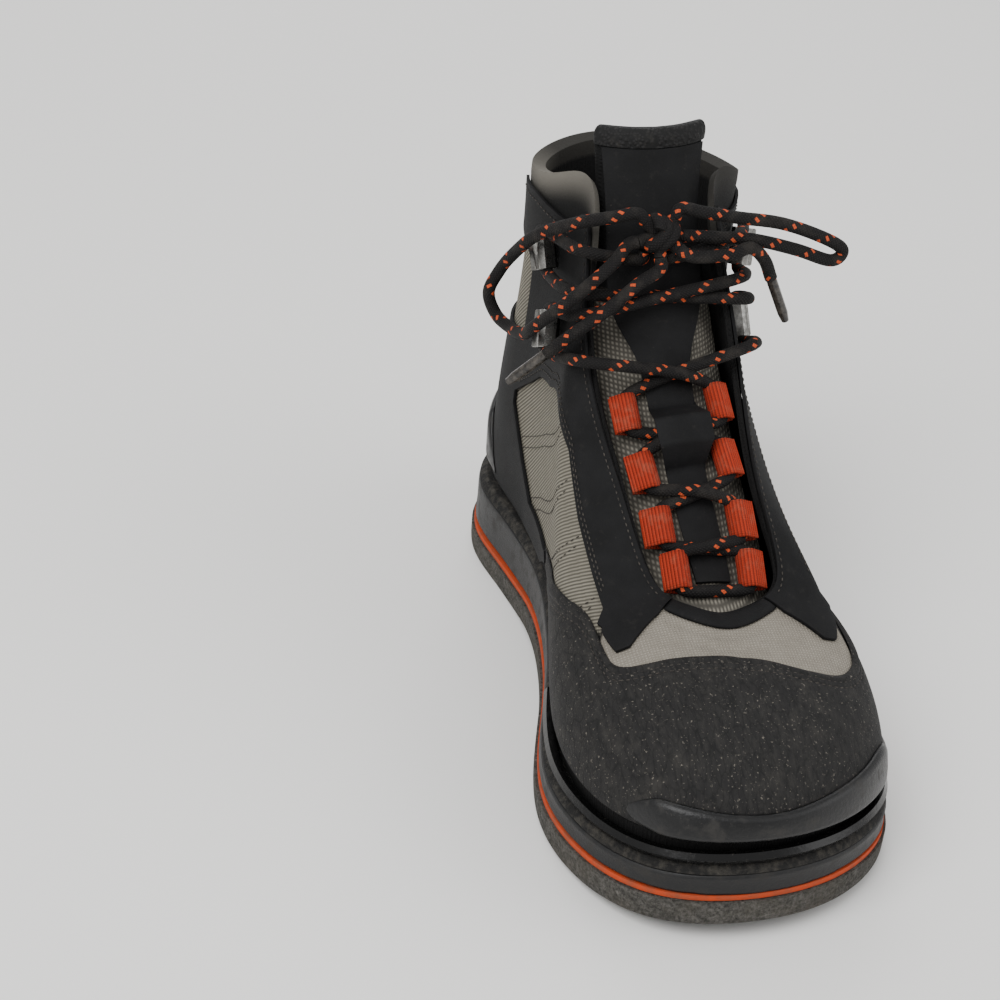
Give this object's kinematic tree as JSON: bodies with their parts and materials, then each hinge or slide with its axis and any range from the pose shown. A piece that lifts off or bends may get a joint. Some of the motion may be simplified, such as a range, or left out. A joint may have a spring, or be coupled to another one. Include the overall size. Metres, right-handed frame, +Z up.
{
  "type": "wading boot",
  "caption": "A left wading boot with a felt sole, a black and grey lace-up upper, orange webbing loops and flecked black laces.",
  "frame": {"origin": "centre of the sole's outline, on the floor", "axes": "+X to the outer side of the foot, +Y to the heel, +Z up"},
  "size_m": [0.1385, 0.314, 0.2161],
  "materials": {
    "felt": "pressed fibre felt, matt and dusty",
    "orange_foam": "thin moulded foam layer, matt",
    "sole_rubber": "moulded rubber, satin",
    "insole_board": "knitted cover on foam",
    "grey_fabric": "woven textile",
    "black_nubuck": "smooth-buffed nubuck, matt black",
    "rand_nubuck": "rubbed, dusty nubuck with fine cracks",
    "moulded_rubber": "moulded rubber, satin gloss",
    "orange_webbing": "ribbed woven webbing",
    "nickel": "nickel-plated steel",
    "round_lace": "braided round lace with coloured flecks",
    "clear_tip": "clear plastic sheath"
  },
  "bodies": {
    "root": {"outsole_felt": "felt", "sole_line": "orange_foam", "midsole": "sole_rubber", "welt": "sole_rubber", "insole": "insole_board", "upper": "grey_fabric", "tongue": "grey_fabric", "bead": "moulded_rubber", "quarter_inner": "black_nubuck", "quarter_outer": "black_nubuck", "toe_rand": "rand_nubuck", "toe_bumper": "moulded_rubber", "heel_counter": "moulded_rubber", "throat_trim": "black_nubuck", "tongue_overlay": "black_nubuck", "tongue_binding": "black_nubuck", "loop_inner_1": "orange_webbing", "loop_inner_2": "orange_webbing", "loop_inner_3": "orange_webbing", "loop_inner_4": "orange_webbing", "loop_outer_1": "orange_webbing", "loop_outer_2": "orange_webbing", "loop_outer_3": "orange_webbing", "loop_outer_4": "orange_webbing", "hook_inner_lower": "nickel", "hook_inner_upper": "nickel", "hook_outer_lower": "nickel", "hook_outer_upper": "nickel", "lace_bar": "round_lace", "lace_cross_1": "round_lace", "lace_cross_2": "round_lace", "lace_cross_3": "round_lace", "lace_cross_4": "round_lace", "lace_cross_hooks": "round_lace", "lace_top_inner": "round_lace", "lace_top_outer": "round_lace", "knot": "round_lace", "bow_inner": "round_lace", "bow_outer": "round_lace", "end_inner": "round_lace", "end_outer": "round_lace", "tip_inner": "clear_tip", "tip_outer": "clear_tip"}
  },
  "joints": []
}
